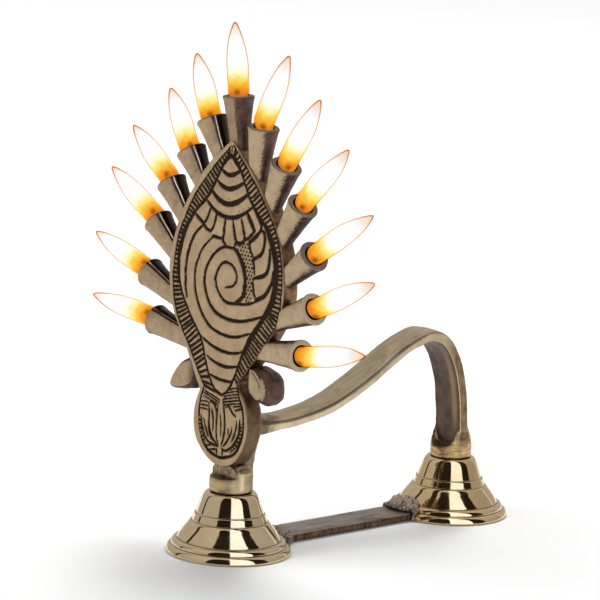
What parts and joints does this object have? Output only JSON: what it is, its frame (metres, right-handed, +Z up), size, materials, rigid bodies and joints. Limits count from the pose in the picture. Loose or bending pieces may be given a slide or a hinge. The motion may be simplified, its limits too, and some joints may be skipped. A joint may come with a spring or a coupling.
{
  "type": "aarti lamp",
  "caption": "Brass aarti diya: an engraved upright leaf plate ringed with lit wick sockets, on a bell foot, with an arched strap handle to a rear bell foot and a flat bar between the feet.",
  "frame": {"origin": "on the floor, midway between the front and the rear foot", "axes": "+Z up, +Y from the plate back along the handle to the rear foot, +X to the right as the plate is seen from in front"},
  "size_m": [0.1654, 0.1724, 0.2095],
  "materials": {
    "plate_brass": "satin cast brass with dark patina in the engraving",
    "socket_brass": "pitted cast brass, darkened on its lower side",
    "cast_brass": "rough filed cast brass",
    "handle_brass": "satin brass, darker on its inner side",
    "polished_brass": "turned and polished to a mirror",
    "fastener_brass": "plain turned brass",
    "braze": "rough pitted braze, heat-stained",
    "bar_brass": "dull heat-stained strip",
    "cotton_wick": "charred cotton soaked in ghee",
    "flame": "glowing flame"
  },
  "bodies": {
    "root": {"front_plate": "plate_brass", "socket_left_1": "socket_brass", "socket_left_2": "socket_brass", "socket_left_3": "socket_brass", "socket_left_4": "socket_brass", "socket_left_5": "socket_brass", "socket_left_6": "socket_brass", "socket_right_1": "socket_brass", "socket_right_2": "socket_brass", "socket_right_3": "socket_brass", "socket_right_4": "socket_brass", "socket_right_5": "socket_brass", "socket_right_6": "socket_brass", "socket_top": "socket_brass", "bud_lug_left": "socket_brass", "bud_lug_right": "socket_brass", "wick_left_1": "cotton_wick", "wick_left_2": "cotton_wick", "wick_left_3": "cotton_wick", "wick_left_4": "cotton_wick", "wick_left_5": "cotton_wick", "wick_left_6": "cotton_wick", "wick_right_1": "cotton_wick", "wick_right_2": "cotton_wick", "wick_right_3": "cotton_wick", "wick_right_4": "cotton_wick", "wick_right_5": "cotton_wick", "wick_right_6": "cotton_wick", "wick_top": "cotton_wick", "flame_left_1": "flame", "flame_left_2": "flame", "flame_left_3": "flame", "flame_left_4": "flame", "flame_left_5": "flame", "flame_left_6": "flame", "flame_right_1": "flame", "flame_right_2": "flame", "flame_right_3": "flame", "flame_right_4": "flame", "flame_right_5": "flame", "flame_right_6": "flame", "flame_top": "flame", "front_stem": "cast_brass", "handle": "handle_brass", "front_foot": "polished_brass", "rear_foot": "polished_brass", "front_washer": "fastener_brass", "rear_washer": "fastener_brass", "front_screw": "fastener_brass", "rear_screw": "fastener_brass", "front_braze": "braze", "rear_braze": "braze", "base_bar": "bar_brass"}
  },
  "joints": []
}
